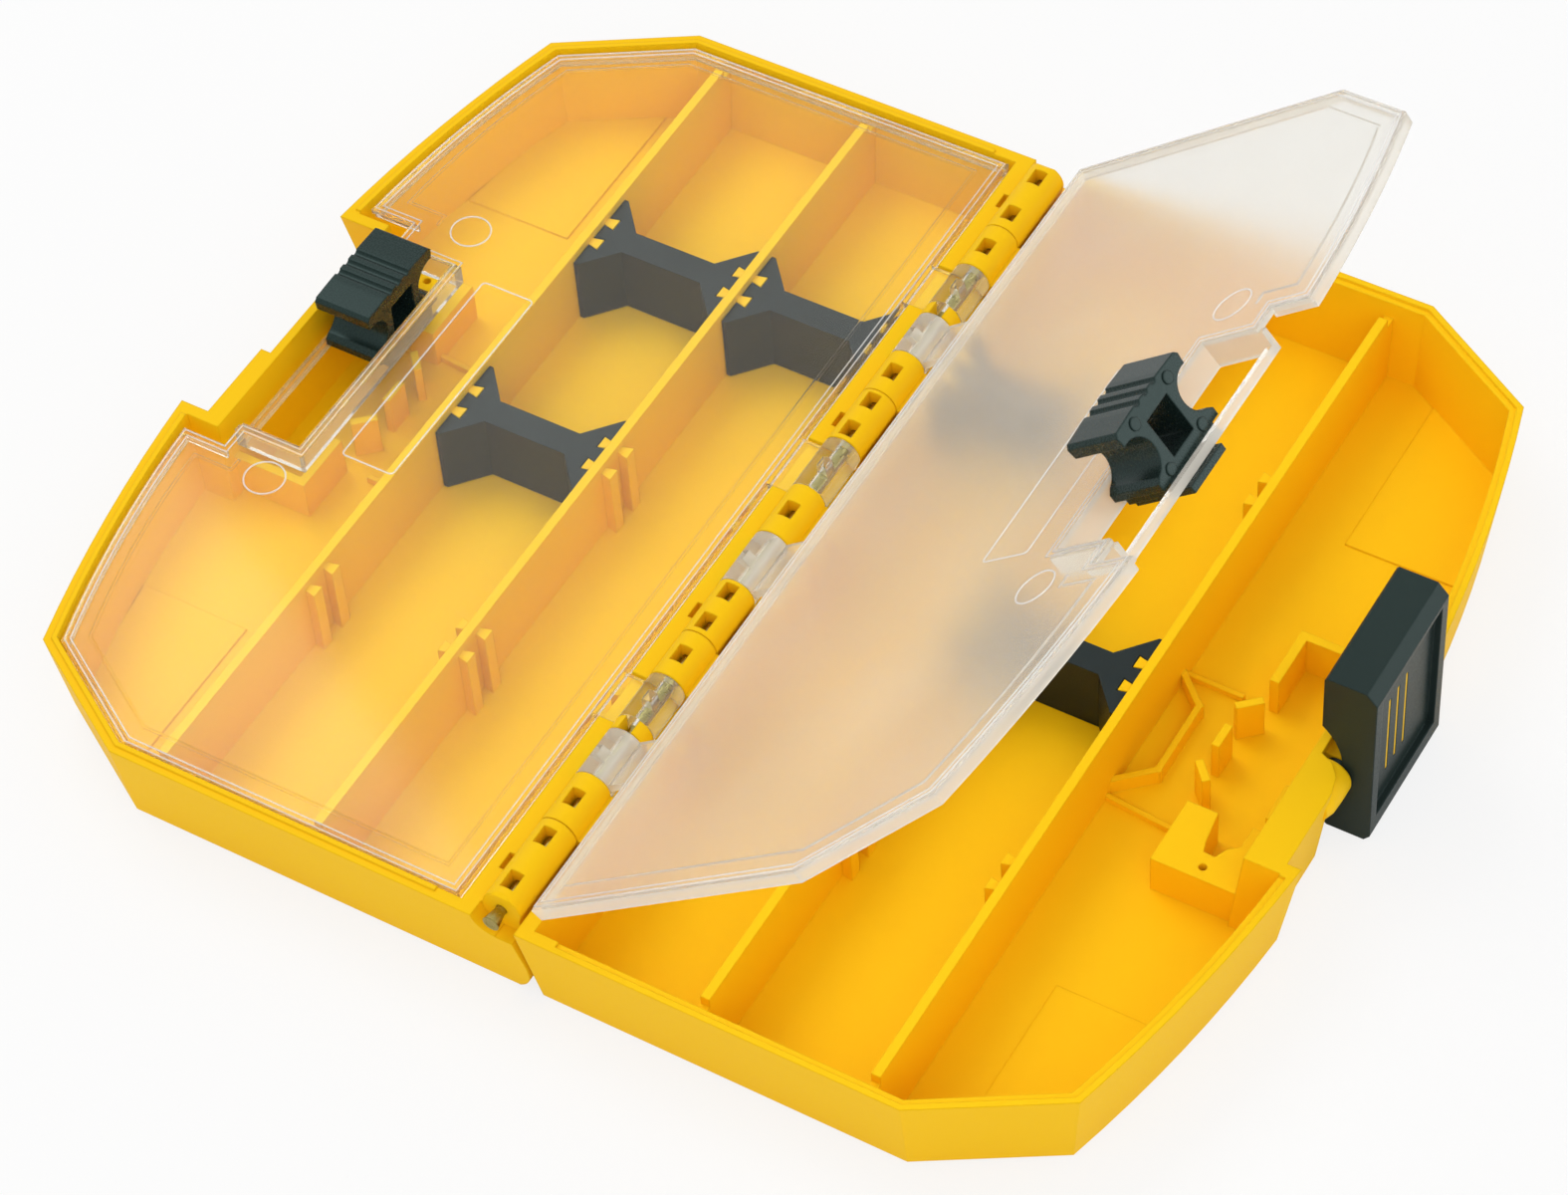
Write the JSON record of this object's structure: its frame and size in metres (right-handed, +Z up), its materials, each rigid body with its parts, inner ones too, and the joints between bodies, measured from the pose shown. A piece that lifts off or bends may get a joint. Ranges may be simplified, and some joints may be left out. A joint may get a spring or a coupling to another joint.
{
  "type": "folding accessory case",
  "caption": "Folding case of plastic trays on a common hinge pin, each with a clear lid and sliding lid lock, loose cross dividers and a rocking front latch.",
  "frame": {"origin": "centre of the box around the part, at the trays' flat undersides", "axes": "+Z up out of the open trays, Y along the hinge pin, +X from the hinge to the tray that carries the latch"},
  "size_m": [0.3344, 0.29, 0.1335],
  "materials": {
    "yellow": "satin moulded polypropylene",
    "clear": "clear moulded plastic with a frosted centre",
    "black": "satin moulded plastic",
    "divider": "satin moulded plastic",
    "inlay": "yellow second-shot moulding",
    "pin": "drawn wire"
  },
  "bodies": {
    "left_shell": {"left_tray": "yellow", "left_divider_1": "divider", "left_divider_2": "divider", "left_divider_3": "divider"},
    "pin": {"hinge_pin": "pin"},
    "right_shell": {"right_tray": "yellow", "right_divider_1": "divider", "right_divider_2": "divider"},
    "lid_left": {"left_lid": "clear"},
    "lid_right": {"right_lid": "clear"},
    "lock_left": {"left_lid_lock": "black"},
    "lock_right": {"right_lid_lock": "black"},
    "latch": {"main_latch": "black", "latch_inlay": "inlay"}
  },
  "joints": [
    {"name": "case_fold", "type": "hinge", "parent": "left_shell", "child": "pin", "pos_m": [-0.00115, 0, 0.029], "axis": [0, -1, 0], "range_deg": [0, 127]},
    {"name": "right_tray_swing", "type": "hinge", "parent": "pin", "child": "right_shell", "pos_m": [-0.00115, 0, 0.029], "axis": [0, 1, 0], "range_deg": [-40, 0]},
    {"name": "right_lid_swing", "type": "hinge", "parent": "pin", "child": "lid_right", "pos_m": [-0.00115, 0, 0.029], "axis": [0, 1, 0], "range_deg": [-50, 40]},
    {"name": "left_lid_swing", "type": "hinge", "parent": "left_shell", "child": "lid_left", "pos_m": [-0.00115, 0, 0.029], "axis": [0, -1, 0], "range_deg": [-75, 0]},
    {"name": "left_lock_slide", "type": "slide", "parent": "lid_left", "child": "lock_left", "axis": [0, 1, 0], "range_m": [-0.0157, 0]},
    {"name": "right_lock_slide", "type": "slide", "parent": "lid_right", "child": "lock_right", "axis": [0, 1, 0], "range_m": [-0.0135, 0.0022]},
    {"name": "latch_rock", "type": "hinge", "parent": "right_shell", "child": "latch", "pos_m": [0.15625, 0, 0.0225], "axis": [0, 1, 0], "range_deg": [0, 7.6]}
  ]
}
